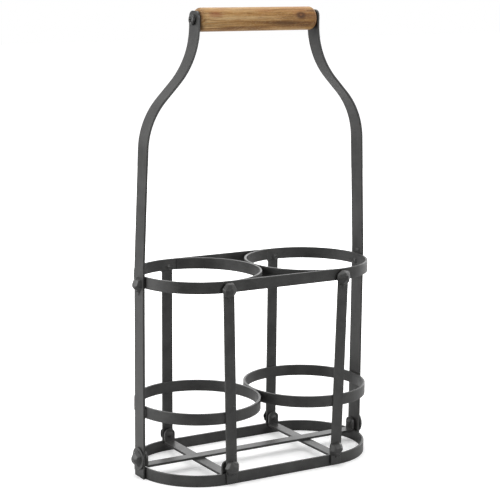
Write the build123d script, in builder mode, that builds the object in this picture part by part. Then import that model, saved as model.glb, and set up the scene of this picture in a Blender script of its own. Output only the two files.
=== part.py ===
"""Riveted flat-iron caddy for two bottles, with a wooden grip. Millimetres, +Z up, origin under its middle."""

from build123d import *
import os

os.makedirs("parts", exist_ok=True)

# Flat bar stock: one thickness, a narrow bar for the cage and a wider one for the handle straps
bar_thickness = 2.0
bar_width = 10.0
strap_width = 16.0
edge_radius = 0.35

# Rings that hold the bottles, side by side along X
ring_radius = 55.0
ring_inner_radius = ring_radius - bar_thickness
weld_gap = 0.1
ring_centre = ring_radius + weld_gap / 2
cage_half_length = ring_centre + ring_radius

# Undersides of the bands above the table
middle_ring_height = 54.0
top_band_height = 166.3
top_band_top = top_band_height + bar_width

# Floor bars: inside the base band, the long one over the two short ones, ends turned up against the band
short_bar_height = 7.0
long_bar_height = short_bar_height + bar_thickness
floor_bar_gap = 0.1
floor_reach = (ring_inner_radius**2 - (bar_width / 2) ** 2) ** 0.5 - floor_bar_gap
bend_radius = 1.2
end_round_share = 0.92
end_round = end_round_share * bar_width / 2

# Rivets: hammered dome outside, shank, and a flattened tail inside
rivet_head_radius = 7.0
rivet_head_height = 5.6
rivet_shank_radius = 1.6
rivet_tail_radius = 2.6
rivet_tail_height = 1.3
rivet_tail_round = 0.8
rivet_hole_clearance = 0.05
rivet_tail_gap = 0.25
rivet_stack = 2 * bar_thickness
base_rivet_stack = rivet_stack + ring_radius - floor_reach
top_rivet_margin = 2.4
base_rivet_margin = 5.5
foot_rivet_margin = 6.8
top_rivet_height = top_band_height + top_rivet_margin
base_rivet_height = bar_width + base_rivet_margin
foot_rivet_height = bar_width + foot_rivet_margin

# Uprights outside the bands, at the front and back of each ring; the front ones lean in at the foot
upright_foot_height = 1.5
front_lean = 4.0
back_lean = 0.4

# Short arcs that complete the two top rings inside the long band
arc_end_offset = 7.5

# Round collars under the rivet heads at the feet of the handle straps
washer_radius = 9.7
washer_thickness = 1.5
washer_round = 0.6

# Wooden grip between the strap ends
grip_radius = 10.0
grip_length = 115.5
grip_height = 388.0
grip_end_round = 4.5
grip_end_gap = 0.25

# Pan head screws that carry the grip: they turn in the straps and sit fast in the wood
screw_shank_radius = 2.5
screw_depth = 24.0
screw_point_length = 5.0
screw_head_radius = 4.5
screw_head_height = 2.9
screw_head_round = 1.6
screw_head_gap = 0.15
screw_running_clearance = 0.08
screw_seat_clearance = 0.05
recess_length = 4.6
recess_width = 1.3
recess_depth = 1.5

# Handle straps: upright to the top band, then drawn in like a bottle's shoulder and neck
strap_top_margin = 7.5
strap_top_corner = 5.5
strap_face = cage_half_length + bar_thickness / 2
neck_face = grip_length / 2 + grip_end_gap + bar_thickness / 2
neck_drop = 32.4
neck_height = grip_height - neck_drop
shoulder_drop = 49.6
shoulder_height = neck_height - shoulder_drop
shoulder_inset = 4.7
shoulder_radius = 62.0
neck_radius = 68.0
lean_radius = 300.0
lean_rise = 6.0

# Overrun of a cut past the surface that it cuts
overrun = 1.0

sides = (("left", -1), ("right", 1))
fronts = (("front", -1, front_lean), ("back", 1, back_lean))

# Planes on the outside of each riveted pair, facing out, one for each rivet
upright_face = ring_radius + bar_thickness
strap_outer_face = strap_face + bar_thickness / 2
top_rivet_planes = [
    Plane((x_side * (ring_centre + lean / 2), y_side * upright_face, top_rivet_height), z_dir=(0, y_side, 0))
    for _, x_side in sides
    for _, y_side, lean in fronts
] + [Plane((x_side * strap_outer_face, 0, top_rivet_height), z_dir=(x_side, 0, 0)) for _, x_side in sides]
base_rivet_planes = [
    Plane((x_side * (ring_centre - lean / 2), y_side * upright_face, base_rivet_height), z_dir=(0, y_side, 0))
    for _, x_side in sides
    for _, y_side, lean in fronts
]
foot_planes = [
    Plane((x_side * strap_outer_face, 0, foot_rivet_height), z_dir=(x_side, 0, 0)) for _, x_side in sides
]


def rivet_holes(planes):
    """Cut the shank holes through all the bars that each rivet joins."""
    with Locations(*[plane.offset(overrun) for plane in planes]):
        Hole(rivet_shank_radius + rivet_hole_clearance, depth=base_rivet_stack + 2 * overrun)


def rivet(stack):
    """Rivet through a stack of that thickness, its head above the outer face at zero height."""
    tail_face = -stack - rivet_tail_gap
    with BuildPart() as form:
        with BuildSketch(Plane.XZ):
            with BuildLine():
                head = TangentArc((0, rivet_head_height), (rivet_head_radius, 0), tangent=(1, 0))
                Polyline(
                    head @ 1,
                    (rivet_shank_radius, 0),
                    (rivet_shank_radius, tail_face),
                    (rivet_tail_radius, tail_face),
                    (rivet_tail_radius, tail_face - rivet_tail_height),
                    (0, tail_face - rivet_tail_height),
                    head @ 0,
                )
            make_face()
        revolve(axis=Axis.Z)
        fillet(form.edges().group_by(Axis.Z)[0], rivet_tail_round)
    return form.part


# Top band: racetrack hoop round both bottles
with BuildPart() as top_band:
    with BuildSketch(Plane.XY.offset(top_band_height)):
        SlotCenterToCenter(2 * ring_centre, 2 * ring_radius)
        SlotCenterToCenter(2 * ring_centre, 2 * ring_inner_radius, mode=Mode.SUBTRACT)
    extrude(amount=bar_width)
    fillet(top_band.faces().filter_by(Axis.Z).edges(), edge_radius)
    rivet_holes(top_rivet_planes)
top_band.part.label = "top_band"
export_step(top_band.part, "parts/top_band.step")

# Base band: the same hoop, standing on the table
with BuildPart() as base_band:
    with BuildSketch():
        SlotCenterToCenter(2 * ring_centre, 2 * ring_radius)
        SlotCenterToCenter(2 * ring_centre, 2 * ring_inner_radius, mode=Mode.SUBTRACT)
    extrude(amount=bar_width)
    fillet(base_band.faces().filter_by(Axis.Z).edges(), edge_radius)
base_band.part.label = "base_band"
export_step(base_band.part, "parts/base_band.step")

for side, x_side in sides:
    # Short arc that completes the ring on the inner side, cut off where it meets the long band
    with BuildPart() as top_arc:
        with BuildSketch(Plane.XY.offset(top_band_height)):
            with Locations((x_side * ring_centre, 0)):
                Circle(ring_radius)
                Circle(ring_inner_radius, mode=Mode.SUBTRACT)
            with Locations((x_side * (ring_centre - arc_end_offset), 0)):
                Rectangle(
                    ring_radius,
                    2 * ring_inner_radius,
                    align=(Align.MAX if x_side > 0 else Align.MIN, Align.CENTER),
                    mode=Mode.INTERSECT,
                )
        extrude(amount=bar_width)
        fillet(top_arc.faces().filter_by(Axis.Z).edges().filter_by(GeomType.CIRCLE), edge_radius)
    top_arc.part.label = f"top_arc_{side}"
    export_step(top_arc.part, f"parts/top_arc_{side}.step")

    # Ring a third of the way up the bottle, welded to the uprights and the strap
    with BuildPart() as middle_ring:
        with BuildSketch(Plane.XY.offset(middle_ring_height)):
            with Locations((x_side * ring_centre, 0)):
                Circle(ring_radius)
                Circle(ring_inner_radius, mode=Mode.SUBTRACT)
        extrude(amount=bar_width)
        fillet(middle_ring.faces().filter_by(Axis.Z).edges(), edge_radius)
    middle_ring.part.label = f"middle_ring_{side}"
    export_step(middle_ring.part, f"parts/middle_ring_{side}.step")

    # Uprights: round upper end behind the top rivet, square foot just clear of the table
    for front, y_side, lean in fronts:
        top_point = Vector(x_side * (ring_centre + lean / 2), y_side * ring_radius, top_rivet_height)
        base_point = Vector(x_side * (ring_centre - lean / 2), y_side * ring_radius, base_rivet_height)
        up = (top_point - base_point).normalized()
        outward = Vector(0, y_side, 0)
        upright_length = (top_rivet_height - upright_foot_height) / up.Z
        with BuildPart() as upright:
            with BuildSketch(Plane(top_point, x_dir=up.cross(outward), z_dir=outward)):
                Rectangle(bar_width, upright_length, align=(Align.CENTER, Align.MAX))
                Circle(bar_width / 2)
            extrude(amount=bar_thickness)
            fillet(upright.edges(), edge_radius)
            rivet_holes(top_rivet_planes + base_rivet_planes)
        upright.part.label = f"upright_{front}_{side}"
        export_step(upright.part, f"parts/upright_{front}_{side}.step")

    # Short floor bar: lies across inside the base band, ends turned up over it and riveted to the uprights
    short_face = floor_reach - bar_thickness / 2
    short_line = short_bar_height + bar_thickness / 2
    short_top = base_rivet_height + bar_width / 2
    with BuildPart() as floor_bar_short:
        with BuildLine(Plane.YZ.offset(x_side * ring_centre)) as short_path:
            FilletPolyline(
                (-short_face, short_top),
                (-short_face, short_line),
                (short_face, short_line),
                (short_face, short_top),
                radius=bend_radius,
            )
        with BuildSketch(Plane(short_path.line @ 0, x_dir=(1, 0, 0), z_dir=short_path.line % 0)):
            Rectangle(bar_width, bar_thickness)
        sweep(path=short_path.line)
        fillet(floor_bar_short.edges().filter_by(Axis.Y).group_by(Axis.Z)[-1], end_round)
        rivet_holes(base_rivet_planes)
    floor_bar_short.part.label = f"floor_bar_{side}"
    export_step(floor_bar_short.part, f"parts/floor_bar_{side}.step")

    # Handle strap: foot on the table, shoulder, neck, and a rounded end round the screw
    with BuildPart() as handle_strap:
        with BuildLine(Plane.XZ) as strap_path:
            FilletPolyline(
                (x_side * strap_face, 0),
                (x_side * strap_face, top_band_top + lean_rise),
                (x_side * (strap_face - shoulder_inset), shoulder_height),
                (x_side * neck_face, neck_height),
                (x_side * neck_face, grip_height + strap_top_margin),
                radius=(lean_radius, shoulder_radius, neck_radius),
            )
        with BuildSketch(Plane(strap_path.line @ 0, x_dir=(0, 1, 0), z_dir=strap_path.line % 0)):
            Rectangle(strap_width, bar_thickness)
        sweep(path=strap_path.line)
        fillet(handle_strap.edges().filter_by(Axis.X).group_by(Axis.Z)[-1], strap_top_corner)
        fillet(handle_strap.edges(), edge_radius)
        rivet_holes(top_rivet_planes + foot_planes)
        screw_face = neck_face + bar_thickness / 2 + overrun
        with Locations(Plane((x_side * screw_face, 0, grip_height), z_dir=(x_side, 0, 0))):
            Hole(screw_shank_radius + screw_running_clearance, depth=bar_thickness + 2 * overrun)
    handle_strap.part.label = f"handle_strap_{side}"
    export_step(handle_strap.part, f"parts/handle_strap_{side}.step")

    # Pan head wood screw with a cross recess, on the grip's axis
    screw_plane = Plane((x_side * (neck_face + bar_thickness / 2), 0, grip_height), z_dir=(x_side, 0, 0))
    screw_end = bar_thickness + grip_end_gap + screw_depth
    head_top = screw_head_gap + screw_head_height
    with BuildPart() as screw_form:
        with BuildSketch(Plane.XZ):
            with BuildLine():
                Polyline(
                    (0, head_top),
                    (screw_head_radius, head_top),
                    (screw_head_radius, screw_head_gap),
                    (screw_shank_radius, screw_head_gap),
                    (screw_shank_radius, screw_point_length - screw_end),
                    (0, -screw_end),
                    (0, head_top),
                )
            make_face()
        revolve(axis=Axis.Z)
        fillet(screw_form.edges().filter_by(GeomType.CIRCLE).group_by(Axis.Z)[-1], screw_head_round)
        with BuildSketch(Plane.XY.offset(head_top)):
            Rectangle(recess_length, recess_width)
            Rectangle(recess_width, recess_length)
        extrude(amount=-recess_depth, mode=Mode.SUBTRACT)
    with BuildPart() as grip_screw:
        with Locations(screw_plane):
            add(screw_form.part)
    grip_screw.part.label = f"grip_screw_{side}"
    export_step(grip_screw.part, f"parts/grip_screw_{side}.step")

# Long floor bar: over the short ones, ends turned up and riveted to the handle straps
long_face = ring_centre + floor_reach - bar_thickness / 2
long_line = long_bar_height + bar_thickness / 2
long_top = foot_rivet_height + bar_width / 2
with BuildPart() as floor_bar_long:
    with BuildLine(Plane.XZ) as long_path:
        FilletPolyline(
            (-long_face, long_top),
            (-long_face, long_line),
            (long_face, long_line),
            (long_face, long_top),
            radius=bend_radius,
        )
    with BuildSketch(Plane(long_path.line @ 0, x_dir=(0, 1, 0), z_dir=long_path.line % 0)):
        Rectangle(bar_width, bar_thickness)
    sweep(path=long_path.line)
    fillet(floor_bar_long.edges().filter_by(Axis.X).group_by(Axis.Z)[-1], end_round)
    rivet_holes(foot_planes)
floor_bar_long.part.label = "floor_bar_long"
export_step(floor_bar_long.part, "parts/floor_bar_long.step")

# Grip: dowel with rounded ends, drilled at both ends for the screws
with BuildPart() as grip:
    with BuildSketch(Plane.YZ.offset(-grip_length / 2)):
        with Locations((0, grip_height)):
            Circle(grip_radius)
    extrude(amount=grip_length)
    fillet(grip.edges().filter_by(GeomType.CIRCLE), grip_end_round)
    with Locations(
        *[Plane((x_side * grip_length / 2, 0, grip_height), z_dir=(x_side, 0, 0)) for _, x_side in sides]
    ):
        Hole(screw_shank_radius + screw_seat_clearance, depth=screw_depth + overrun)
grip.part.label = "grip"
export_step(grip.part, "parts/grip.step")

# Collars under the rivet heads at the strap feet
with BuildPart() as foot_washers:
    for plane in foot_planes:
        with BuildSketch(plane):
            Circle(washer_radius)
            Circle(rivet_shank_radius + rivet_hole_clearance, mode=Mode.SUBTRACT)
        extrude(amount=washer_thickness)
    fillet(
        foot_washers.edges().filter_by(GeomType.CIRCLE).filter_by(lambda e: e.radius == washer_radius),
        washer_round,
    )
foot_washers.part.label = "foot_washers"
export_step(foot_washers.part, "parts/foot_washers.step")

# Rivets, in three groups
with BuildPart() as top_rivets:
    with Locations(*top_rivet_planes):
        add(rivet(rivet_stack))
top_rivets.part.label = "top_rivets"
export_step(top_rivets.part, "parts/top_rivets.step")

with BuildPart() as base_rivets:
    with Locations(*base_rivet_planes):
        add(rivet(base_rivet_stack))
base_rivets.part.label = "base_rivets"
export_step(base_rivets.part, "parts/base_rivets.step")

with BuildPart() as foot_rivets:
    with Locations(*[plane.offset(washer_thickness) for plane in foot_planes]):
        add(rivet(base_rivet_stack + washer_thickness))
foot_rivets.part.label = "foot_rivets"
export_step(foot_rivets.part, "parts/foot_rivets.step")
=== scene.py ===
import math
import random

import bmesh
import bpy
from mathutils import Matrix, Vector, noise


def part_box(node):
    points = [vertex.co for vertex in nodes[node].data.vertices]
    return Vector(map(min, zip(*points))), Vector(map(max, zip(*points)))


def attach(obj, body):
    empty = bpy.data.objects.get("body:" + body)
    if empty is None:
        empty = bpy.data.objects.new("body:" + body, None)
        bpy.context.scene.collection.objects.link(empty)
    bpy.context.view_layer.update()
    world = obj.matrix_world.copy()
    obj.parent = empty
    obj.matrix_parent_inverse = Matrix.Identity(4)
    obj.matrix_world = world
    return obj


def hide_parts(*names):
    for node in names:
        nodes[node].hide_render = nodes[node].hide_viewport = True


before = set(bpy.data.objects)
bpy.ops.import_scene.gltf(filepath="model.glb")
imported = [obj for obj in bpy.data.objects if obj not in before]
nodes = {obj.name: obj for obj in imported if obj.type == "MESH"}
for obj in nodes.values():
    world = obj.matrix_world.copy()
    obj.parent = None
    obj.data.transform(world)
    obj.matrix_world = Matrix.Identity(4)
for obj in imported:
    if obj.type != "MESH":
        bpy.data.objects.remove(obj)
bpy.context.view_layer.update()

MM = 0.001


def linear(hex_colour):
    """Scene-linear colour with alpha from a display colour such as "8A6038"."""
    channels = [int(hex_colour[i:i + 2], 16) / 255 for i in (0, 2, 4)]
    return tuple(c / 12.92 if c < 0.04045 else ((c + 0.055) / 1.055) ** 2.4 for c in channels) + (1.0,)


class Shader:
    """Small helper to write the node tree of a material or world as nested calls."""

    def __init__(self, owner):
        self.owner = owner
        owner.use_nodes = True
        self.tree = owner.node_tree
        self.tree.nodes.clear()

    def node(self, kind, inputs=None, **settings):
        node = self.tree.nodes.new(kind)
        for key, value in settings.items():
            setattr(node, key, value)
        for key, value in (inputs or {}).items():
            self.feed(node.inputs[key], value)
        return node

    def feed(self, socket, value):
        if isinstance(value, bpy.types.NodeSocket):
            self.tree.links.new(value, socket)
        else:
            socket.default_value = value

    def coords(self, scale=(1, 1, 1), offset=(0, 0, 0)):
        place = self.node("ShaderNodeTexCoord").outputs["Object"]
        return self.node(
            "ShaderNodeMapping", {"Vector": place, "Scale": scale, "Location": offset}
        ).outputs["Vector"]

    def noise(self, vector, scale, detail=4.0, roughness=0.55, distortion=0.0):
        return self.node(
            "ShaderNodeTexNoise",
            {
                "Vector": vector,
                "Scale": scale,
                "Detail": detail,
                "Roughness": roughness,
                "Distortion": distortion,
            },
        ).outputs["Fac"]

    def ramp(self, value, stops):
        node = self.node("ShaderNodeValToRGB", {"Fac": value})
        elements = node.color_ramp.elements
        while len(elements) < len(stops):
            elements.new(0.5)
        for element, (position, colour) in zip(elements, stops):
            element.position = position
            element.color = colour if len(colour) == 4 else (*colour, 1.0)
        return node.outputs["Color"]

    def span(self, value, low, high, new_low, new_high):
        return self.node(
            "ShaderNodeMapRange",
            {"Value": value, "From Min": low, "From Max": high, "To Min": new_low, "To Max": new_high},
        ).outputs["Result"]

    def mix(self, factor, a, b, blend="MIX"):
        node = self.node("ShaderNodeMix", data_type="RGBA", blend_type=blend)
        self.feed(node.inputs[0], factor)
        self.feed(node.inputs[6], a)
        self.feed(node.inputs[7], b)
        return node.outputs[2]

    def math(self, operation, a, b=0.0):
        node = self.node("ShaderNodeMath", operation=operation)
        self.feed(node.inputs[0], a)
        self.feed(node.inputs[1], b)
        return node.outputs[0]

    def bump(self, height, distance, strength=1.0, normal=None):
        inputs = {"Height": height, "Distance": distance, "Strength": strength}
        if normal is not None:
            inputs["Normal"] = normal
        return self.node("ShaderNodeBump", inputs).outputs["Normal"]

    def distance(self, place, scale):
        """Distance from a place, stretched along each axis."""
        offset = [-k * c for k, c in zip(scale, place)]
        vector = self.coords(scale=scale, offset=offset)
        return self.node("ShaderNodeVectorMath", {0: vector}, operation="LENGTH").outputs["Value"]

    def edge_mask(self, radius, low, high):
        """One along sharp edges, zero on flats, from how far a rounded normal leaves the true one."""
        rounded = self.node("ShaderNodeBevel", {"Radius": radius}, samples=4).outputs["Normal"]
        true = self.node("ShaderNodeNewGeometry").outputs["Normal"]
        product = self.node("ShaderNodeVectorMath", operation="DOT_PRODUCT")
        self.feed(product.inputs[0], rounded)
        self.feed(product.inputs[1], true)
        return self.span(product.outputs["Value"], high, low, 0.0, 1.0)

    def surface(self, **inputs):
        names = {key: key.replace("_", " ") for key in inputs}
        return self.close(self.node("ShaderNodeBsdfPrincipled", {names[k]: v for k, v in inputs.items()}))

    def close(self, shader, output="ShaderNodeOutputMaterial"):
        self.tree.links.new(shader.outputs[0], self.node(output).inputs["Surface"])
        return self.owner


def painted_iron():
    """Satin black brush paint on flat iron: cloudy tone, fine grain, and a painted highlight that makes the
    edges a little paler.
    """
    s = Shader(bpy.data.materials.new("painted_iron"))
    place = s.coords()
    clouds = s.noise(place, 70, 5)
    grain = s.noise(place, 1100, 3, 0.6)
    strokes = s.noise(s.coords(scale=(1, 1, 0.25)), 420, 3)
    tone = s.math("ADD", s.math("MULTIPLY", clouds, 0.6), s.math("MULTIPLY", grain, 0.4))
    paint = s.ramp(tone, [(0.34, (0.012, 0.012, 0.0116)), (0.66, (0.036, 0.036, 0.0345))])
    edges = s.edge_mask(0.0006, 0.93, 0.995)
    # Painted highlight: the edges are mixed towards a paler grey, patchy with the clouds, as if light caught
    # them.
    painted_edge_highlight = s.math("MULTIPLY", edges, s.span(clouds, 0.42, 0.62, 0.08, 0.5))
    paint = s.mix(painted_edge_highlight, paint, (0.12, 0.12, 0.115, 1))
    sheen = s.math("ADD", s.math("MULTIPLY", clouds, 0.5), s.math("MULTIPLY", grain, 0.5))
    height = s.math("ADD", s.math("MULTIPLY", grain, 0.5), s.math("MULTIPLY", strokes, 0.8))
    rounded = s.node("ShaderNodeBevel", {"Radius": 0.0004}, samples=4).outputs["Normal"]
    return s.surface(
        Base_Color=paint,
        Roughness=s.span(sheen, 0.3, 0.7, 0.33, 0.52),
        Specular_IOR_Level=0.45,
        Normal=s.bump(height, 0.00018, 0.55, rounded),
    )


def turned_wood():
    """Oiled dowel: grain along X in tan and brown bands, dark fibres, dark ends, stains and a knot."""
    s = Shader(bpy.data.materials.new("turned_wood"))
    bands = s.noise(s.coords(scale=(9, 190, 190)), 1.0, 8, 0.68, 1.2)
    streaks = s.noise(s.coords(scale=(26, 620, 620), offset=(0.3, 0.1, 0.2)), 1.0, 6, 0.7, 0.6)
    fibres = s.noise(s.coords(scale=(150, 3400, 3400)), 1.0, 4, 0.6)
    pores = s.noise(s.coords(scale=(420, 5200, 5200), offset=(1.7, 0.2, 0.9)), 1.0, 2, 0.5)
    patches = s.noise(s.coords(scale=(34, 70, 70), offset=(2.1, 0.4, 0.7)), 1.0, 3, 0.6)
    colour = s.ramp(
        bands,
        [
            (0.33, linear("7A5028")),
            (0.44, linear("A0733D")),
            (0.53, linear("BC8E54")),
            (0.64, linear("D8B47E")),
        ],
    )
    colour = s.mix(s.span(patches, 0.52, 0.68, 0.0, 0.4), colour, linear("A8683F"))
    colour = s.mix(s.span(streaks, 0.5, 0.62, 0.0, 0.75), colour, linear("5C3A1A"))
    colour = s.mix(s.span(fibres, 0.48, 0.68, 0.0, 0.45), colour, linear("573615"))
    colour = s.mix(s.span(pores, 0.56, 0.7, 0.0, 0.5), colour, linear("E2C491"))
    for place, scale, tint, share in SMEARS:
        waver = s.math("MULTIPLY", s.math("SUBTRACT", streaks, 0.5), 1.6)
        ragged = s.math("ADD", s.distance(place, scale), waver)
        colour = s.mix(s.span(ragged, 0.3, 1.0, share, 0.0), colour, linear(tint))
    waver = s.math("MULTIPLY", s.math("SUBTRACT", streaks, 0.5), 0.9)
    wavy = s.math("ADD", s.distance(KNOT_PLACE, KNOT_SCALE), waver)
    knot = s.ramp(
        wavy,
        [
            (0.0, (0.55, 0.55, 0.55)),
            (0.16, (0.2, 0.2, 0.2)),
            (0.3, (0.95, 0.95, 0.95)),
            (0.55, (0.7, 0.7, 0.7)),
            (0.75, (0.25, 0.25, 0.25)),
            (0.95, (0.0, 0.0, 0.0)),
        ],
    )
    colour = s.mix(knot, colour, linear("4A2B12"))
    along = s.node("ShaderNodeSeparateXYZ", {"Vector": s.coords()}).outputs["X"]
    half = half_length("grip")
    end = s.span(s.math("ABSOLUTE", along), half - 5.5 * MM, half - 0.5 * MM, 0.0, 0.6)
    colour = s.mix(end, colour, linear("5E3D20"))
    height = s.math("ADD", s.math("MULTIPLY", fibres, 0.5), s.math("MULTIPLY", streaks, 0.5))
    return s.surface(
        Base_Color=colour,
        Roughness=s.span(bands, 0.3, 0.7, 0.62, 0.48),
        Specular_IOR_Level=0.3,
        Normal=s.bump(height, 0.0003, 0.6),
    )


def screw_steel():
    """Blackened steel screw, its rim worn to bright metal."""
    s = Shader(bpy.data.materials.new("screw_steel"))
    grain = s.noise(s.coords(), 1500, 3)
    worn = s.noise(s.coords(offset=(0.4, 0.2, 0.1)), 420, 2)
    edges = s.math("MULTIPLY", s.edge_mask(0.0006, 0.93, 0.995), s.span(worn, 0.4, 0.6, 0.45, 1.0))
    steel = s.ramp(grain, [(0.3, (0.018, 0.018, 0.018)), (0.7, (0.06, 0.06, 0.058))])
    return s.surface(
        Base_Color=s.mix(edges, steel, (0.5, 0.5, 0.48, 1)),
        Metallic=0.6,
        Roughness=s.span(grain, 0.3, 0.7, 0.3, 0.48),
        Normal=s.bump(grain, 0.0001, 0.5),
    )


def dress(node, material):
    mesh = nodes[node].data
    mesh.materials.clear()
    mesh.materials.append(material)


def half_length(name):
    low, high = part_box(name)
    return (high[0] - low[0]) / 2


# Stains in the wood: middle, how fast each fades along the axes, tint and strength
SMEARS = (
    ((-0.044, -0.0065, 0.3925), (1 / 0.009, 1 / 0.012, 1 / 0.0035), "8E4A2C", 0.6),
    ((0.024, -0.0075, 0.3845), (1 / 0.022, 1 / 0.012, 1 / 0.003), "3F2612", 0.55),
)
# Knot near the grip's right end: its middle and how fast it fades along each axis
KNOT_PLACE = (0.040, -0.0092, 0.391)
KNOT_SCALE = (1 / 0.0068, 1 / 0.008, 1 / 0.0042)

iron = painted_iron()
wood = turned_wood()
steel = screw_steel()
for name in nodes:
    if name == "grip":
        dress(name, wood)
    elif name.startswith("grip_screw"):
        dress(name, steel)
    else:
        dress(name, iron)

# Hammered rivets: dome outside, flattened tail inside, and on some heads a run of paint below
HEAD_HEIGHT = 5.6 * MM
TAIL_REACH = 1.55 * MM
RING_COUNT = 18
SEGMENT_COUNT = 56
BLOW_ROWS = ((4, 1), (40, 5), (70, 7))
BLOW_DEPTHS = (0.79, 0.92)
EDGE_SOFTNESS = 90
RUN_WIDTH = 1.5 * MM
RUN_HEIGHT = 0.9 * MM
STRAP_RUN = 7.5 * MM
FOOT_RUN = 4.0 * MM
UPRIGHT_RUN = 5.0 * MM
RUN_STEPS = 14
RUN_SIDES = 10
RUN_START_SHARE = 0.82
TAIL_SHARE = 0.44


def solid_boxes(name):
    """Box of each separate solid in a CAD node, in a steady order."""
    bm = bmesh.new()
    bm.from_mesh(nodes[name].data)
    bmesh.ops.remove_doubles(bm, verts=bm.verts, dist=1e-6)
    waiting = set(bm.verts)
    boxes = []
    while waiting:
        stack = [waiting.pop()]
        found = []
        while stack:
            vert = stack.pop()
            found.append(vert.co.copy())
            for edge in vert.link_edges:
                other = edge.other_vert(vert)
                if other in waiting:
                    waiting.remove(other)
                    stack.append(other)
        low = Vector([min(co[i] for co in found) for i in range(3)])
        high = Vector([max(co[i] for co in found) for i in range(3)])
        boxes.append((low, high))
    bm.free()
    return sorted(boxes, key=lambda box: [round(c, 4) for c in box[0]])


def add_rings(bm, rings, tip):
    """Skin between closed rings of points, closed over a tip and left open at the first ring."""
    made = [[bm.verts.new(point) for point in ring] for ring in rings]
    crown = bm.verts.new(tip)
    count = len(made[0])
    for lower, upper in zip(made, made[1:]):
        for k in range(count):
            bm.faces.new((lower[k], lower[(k + 1) % count], upper[(k + 1) % count], upper[k]))
    for k in range(count):
        bm.faces.new((made[-1][k], made[-1][(k + 1) % count], crown))


def hammered_dome(bm, place, radius, height, rng):
    """Dome in the frame of the matrix place, its crown along local Z, cut by the flats of hammer blows."""
    blows = []
    for polar, count in BLOW_ROWS:
        start = rng.uniform(0, 2 * math.pi)
        for k in range(count):
            tilt = math.radians(polar + rng.uniform(-7, 7))
            turn = start + 2 * math.pi * (k + rng.uniform(-0.22, 0.22)) / count
            flat = Vector((math.sin(tilt) * math.cos(turn), math.sin(tilt) * math.sin(turn), math.cos(tilt)))
            blows.append((flat, rng.uniform(*BLOW_DEPTHS)))

    def point(polar, turn):
        ray = Vector((math.sin(polar) * math.cos(turn), math.sin(polar) * math.sin(turn), math.cos(polar)))
        total = 1.0
        for flat, depth in blows:
            total += (max(ray.dot(flat), 0) / depth) ** EDGE_SOFTNESS
        reach = total ** (-1 / EDGE_SOFTNESS)
        return place @ (Vector((ray.x * radius, ray.y * radius, ray.z * height)) * reach)

    turns = [2 * math.pi * k / SEGMENT_COUNT for k in range(SEGMENT_COUNT)]
    rings = [
        [point(math.pi / 2 * (1 - k / RING_COUNT), turn) for turn in turns] for k in range(RING_COUNT)
    ]
    add_rings(bm, rings, point(0, 0))


def paint_run(bm, place, start, length):
    """Run of paint down the face below a head: wide at its root, then narrow, with a bead at its end."""
    rings = []
    for k in range(RUN_STEPS):
        share = k / (RUN_STEPS - 0.6)
        swell = (1.5 * (1 - share) ** 3 + 0.42 + 0.3 * share * share) * math.sqrt(1 - share ** 8)
        turns = [2 * math.pi * j / RUN_SIDES for j in range(RUN_SIDES)]
        rings.append([
            place @ Vector((
                RUN_WIDTH * swell * math.cos(turn),
                -start - length * share,
                RUN_HEIGHT * swell * math.sin(turn),
            ))
            for turn in turns
        ])
    add_rings(bm, rings, place @ Vector((0, -start - length, 0)))


def add_rivets(name, node, seed, run):
    """Hammered rivets in the place of a group of CAD rivets."""
    rng = random.Random(seed)
    bm = bmesh.new()
    for low, high in solid_boxes(node):
        middle = (low + high) / 2
        on_strap = abs(middle.y) < HEAD_HEIGHT
        axis = 0 if on_strap else 1
        sign = 1 if middle[axis] > 0 else -1
        out = Vector([sign if i == axis else 0 for i in range(3)])
        across = Vector((0, 0, 1)).cross(out)
        turned = Matrix((across, Vector((0, 0, 1)), out)).transposed().to_4x4()
        outer, inner = (high[axis], low[axis]) if sign > 0 else (low[axis], high[axis])
        seat = middle.copy()
        seat[axis] = outer - sign * HEAD_HEIGHT
        radius = (high.z - low.z) / 2
        hammered_dome(bm, Matrix.Translation(seat) @ turned, radius, HEAD_HEIGHT, rng)
        length = rng.uniform(0.2, 1.0) * run
        paint_run(bm, Matrix.Translation(seat) @ turned, radius * RUN_START_SHARE, length)
        back = middle.copy()
        back[axis] = inner + sign * TAIL_REACH
        facing_in = turned @ Matrix.Rotation(math.pi, 4, "Y")
        hammered_dome(bm, Matrix.Translation(back) @ facing_in, radius * TAIL_SHARE, TAIL_REACH, rng)
    piece = add_piece(name, bm)
    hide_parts(node)


def add_piece(name, bm):
    """Smooth-shaded mesh piece of painted iron that rides on the cage."""
    bmesh.ops.recalc_face_normals(bm, faces=bm.faces)
    for face in bm.faces:
        face.smooth = True
    mesh = bpy.data.meshes.new(name)
    bm.to_mesh(mesh)
    bm.free()
    mesh.materials.append(iron)
    piece = bpy.data.objects.new(name, mesh)
    bpy.context.scene.collection.objects.link(piece)
    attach(piece, "cage")
    return piece


# Welds and blemishes: half a bar's width, how far the beads lie from where the rings touch, and blisters
# in the front of the top band as x and rise
HALF_BAR = 5.0 * MM
CUSP = 6.0 * MM
BLISTERS = ((2.5 * MM, 3.4 * MM), (2.3 * MM, 0.0))
BLISTER_RADIUS = 0.75 * MM
SPATTER_COUNT = 4


def lump(bm, place, size, seed):
    """Uneven bead of weld metal: a ball stretched to a size and pushed in and out."""
    made = bmesh.ops.create_icosphere(bm, subdivisions=3, radius=1.0)
    for vert in made["verts"]:
        push = 1 + 0.22 * noise.noise(vert.co * 2.1 + Vector((seed, seed, seed)))
        vert.co = Vector(place) + Vector([s * c * push for s, c in zip(size, vert.co)])


def crater(bm, place, radius):
    """Tiny open blister in the paint of a front face: a raised lip round a sunken middle."""
    profile = ((1.15, -0.05), (1.0, 0.14), (0.8, 0.3), (0.58, 0.22), (0.4, 0.02))
    turns = [2 * math.pi * k / SEGMENT_COUNT for k in range(SEGMENT_COUNT)]
    rings = [
        [
            Vector(place) + radius * Vector((r * math.cos(a), -h, r * math.sin(a)))
            for a in turns
        ]
        for r, h in profile
    ]
    add_rings(bm, rings, Vector(place))


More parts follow.
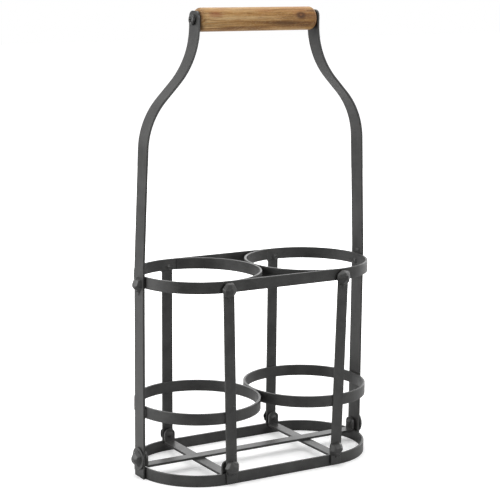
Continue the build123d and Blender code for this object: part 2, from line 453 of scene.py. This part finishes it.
def upright_middle(front, side, z):
    """Middle of a leaning upright's width at a height."""
    low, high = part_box(f"upright_{front}_{side}")
    share = (z - low[2]) / (high[2] - HALF_BAR - low[2])
    if side == "left":
        top, foot = low[0] + HALF_BAR, high[0] - HALF_BAR
    else:
        top, foot = high[0] - HALF_BAR, low[0] + HALF_BAR
    return foot + (top - foot) * share


def add_welds():
    """Beads where rings, arcs, uprights and straps are welded, and the small blemishes of hand work."""
    bm = bmesh.new()
    seed = 0
    ring_low, ring_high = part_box("middle_ring_left")
    band_low, band_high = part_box("top_band")
    ring_middle = (ring_low[2] + ring_high[2]) / 2
    band_middle = (band_low[2] + band_high[2]) / 2
    radius = (ring_high[0] - ring_low[0]) / 2
    for z in (ring_middle, band_middle):
        for y in (-CUSP, CUSP):
            seed += 1
            lump(bm, (0, y, z), (0.75 * MM, 1.3 * MM, 4.0 * MM), seed)
    for front, y_side in (("front", -1), ("back", 1)):
        for side in ("left", "right"):
            middle = upright_middle(front, side, ring_middle)
            for edge in (-1, 1):
                seed += 1
                place = (middle + edge * (HALF_BAR + 0.2 * MM), y_side * (radius - 0.3 * MM), ring_middle)
                lump(bm, place, (0.7 * MM, 0.6 * MM, 3.2 * MM), seed)
    strap_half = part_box("handle_strap_left")[1][1]
    for x_side in (-1, 1):
        for edge in (-1, 1):
            seed += 1
            place = (x_side * (2 * radius - 0.25 * MM), edge * strap_half, ring_middle)
            lump(bm, place, (0.6 * MM, 0.8 * MM, 3.4 * MM), seed)
    for x, rise in BLISTERS:
        crater(bm, (x, -radius, band_middle - 0.9 * MM + rise), BLISTER_RADIUS)
    lump(bm, (2 * radius, -1.5 * MM, band_high[2] + 3.0 * MM), (0.8 * MM, 2.4 * MM, 1.6 * MM), 31)
    spot = upright_middle("front", "left", ring_high[2]) + 2.6 * MM
    lump(bm, (spot, -radius - 2 * MM, ring_high[2] + 4.0 * MM), (1.3 * MM, 0.45 * MM, 1.2 * MM), 32)
    rng = random.Random(8)
    for k in range(SPATTER_COUNT):
        place = (-2.6 * MM, rng.uniform(-16, -4) * MM, band_low[2] + rng.uniform(0.6, 2.4) * MM)
        lump(bm, place, [rng.uniform(0.35, 0.7) * MM] * 3, 40 + k)
    add_piece("weld_beads", bm)


add_rivets("hammered_top_rivets", "top_rivets", 5, STRAP_RUN)
add_rivets("hammered_base_rivets", "base_rivets", 11, UPRIGHT_RUN)
add_rivets("hammered_foot_rivets", "foot_rivets", 17, FOOT_RUN)
add_welds()

# Camera: position and angles of the photograph's view, lens as a 35 mm camera's
CAMERA_PLACE = Vector((-0.7005, -1.1565, 0.4421))
CAMERA_AZIMUTH = math.radians(-31.088)
CAMERA_ELEVATION = math.radians(10.629)
CAMERA_ROLL = math.radians(0.546)
PHOTO_WIDTH = 500
FOCAL_PIXELS = 1577.3
SENSOR = 36.0


def add_camera():
    back = Vector((
        math.sin(CAMERA_AZIMUTH) * math.cos(CAMERA_ELEVATION),
        -math.cos(CAMERA_AZIMUTH) * math.cos(CAMERA_ELEVATION),
        math.sin(CAMERA_ELEVATION),
    ))
    right = Vector((math.cos(CAMERA_AZIMUTH), math.sin(CAMERA_AZIMUTH), 0.0))
    up = back.cross(right)
    level = Matrix((right, up, back)).transposed()
    data = bpy.data.cameras.new("camera")
    data.sensor_width = SENSOR
    data.lens = SENSOR * FOCAL_PIXELS / PHOTO_WIDTH
    camera = bpy.data.objects.new("camera", data)
    bpy.context.scene.collection.objects.link(camera)
    roll = Matrix.Rotation(CAMERA_ROLL, 3, "Z")
    camera.matrix_world = Matrix.Translation(CAMERA_PLACE) @ (level @ roll).to_4x4()
    bpy.context.scene.camera = camera


def add_area(name, place, target, size, energy):
    data = bpy.data.lights.new(name, "AREA")
    data.shape = "SQUARE"
    data.size = size
    data.energy = energy
    lamp = bpy.data.objects.new(name, data)
    bpy.context.scene.collection.objects.link(lamp)
    lamp.location = place
    lamp.visible_camera = False
    lamp.rotation_euler = (Vector(target) - Vector(place)).to_track_quat("-Z", "Y").to_euler()


def when_seen(s, seen, unseen, rays):
    """Shader seen for the named kinds of ray, and the other one for the rest."""
    paths = s.node("ShaderNodeLightPath")
    factor = paths.outputs[rays[0]]
    for ray in rays[1:]:
        factor = s.math("MAXIMUM", factor, paths.outputs[ray])
    mix = s.node("ShaderNodeMixShader", {0: factor})
    s.tree.links.new(unseen.outputs[0], mix.inputs[1])
    s.tree.links.new(seen.outputs[0], mix.inputs[2])
    return mix


def add_world():
    """White world for what is seen straight, in gloss or through glass, and a dimmer one as fill light."""
    world = bpy.data.worlds.new("studio")
    bpy.context.scene.world = world
    s = Shader(world)
    white = (1, 1, 1, 1)
    seen = s.node("ShaderNodeBackground", {"Color": white, "Strength": 1.0})
    fill = s.node("ShaderNodeBackground", {"Color": white, "Strength": FILL_STRENGTH})
    mix = when_seen(s, seen, fill, ("Is Camera Ray", "Is Glossy Ray", "Is Transmission Ray"))
    s.close(mix, "ShaderNodeOutputWorld")


def add_floor():
    """Pale table with painted shade: darker on the camera's side, in place of the dark room past the table's
    edge, so it dims what it lights there; it fades to the white of the world.
    """
    s = Shader(bpy.data.materials.new("white_floor"))
    place = s.coords()
    to_camera = s.node(
        "ShaderNodeVectorMath", {0: place, 1: (math.sin(CAMERA_AZIMUTH), -math.cos(CAMERA_AZIMUTH), 0)},
        operation="DOT_PRODUCT",
    ).outputs["Value"]
    # Painted shade: the floor's colour darkens towards the camera, standing in for the dark room past the
    # table's edge that the iron mirrors.
    tone = s.ramp(
        s.span(to_camera, 0.12, 0.55, 0.0, 1.0),
        [(0.0, (0.86, 0.86, 0.86)), (1.0, (0.14, 0.14, 0.14))],
    )
    diffuse = s.node("ShaderNodeBsdfDiffuse", {"Color": tone})
    distance = s.node("ShaderNodeVectorMath", {0: place}, operation="LENGTH").outputs["Value"]
    strength = s.span(distance, 0.2, 0.55, FLOOR_GLOW, 1.0)
    glow = s.node("ShaderNodeEmission", {"Color": (1, 1, 1, 1), "Strength": strength})
    none = s.node("ShaderNodeEmission", {"Strength": 0.0})
    lift = when_seen(s, glow, none, ("Is Camera Ray",))
    both = s.node("ShaderNodeAddShader", {0: diffuse.outputs[0], 1: lift.outputs[0]})
    s.close(both)
    bpy.ops.mesh.primitive_plane_add(size=12, location=(0, 0, 0))
    floor = bpy.context.object
    floor.name = "floor"
    floor.data.materials.append(s.owner)


FILL_STRENGTH = 0.17
FLOOR_GLOW = 0.35
# Softboxes: name, place, width and watts
SOFTBOXES = (
    ("left_softbox", (-1.3, 0.25, 0.55), 1.1, 18),
    ("right_softbox", (1.5, 0.5, 0.6), 1.2, 12),
    ("front_softbox", (0.75, -1.7, 0.75), 0.7, 14),
    ("back_softbox", (0.9, 1.5, 0.7), 1.5, 9),
    ("top_softbox", (0, 0.2, 1.7), 1.4, 16),
)


def add_studio():
    add_world()
    add_floor()
    for name, place, size, energy in SOFTBOXES:
        add_area(name, place, (0, 0, 0.2), size, energy)


add_camera()
add_studio()
bpy.context.scene.view_settings.view_transform = "Standard"
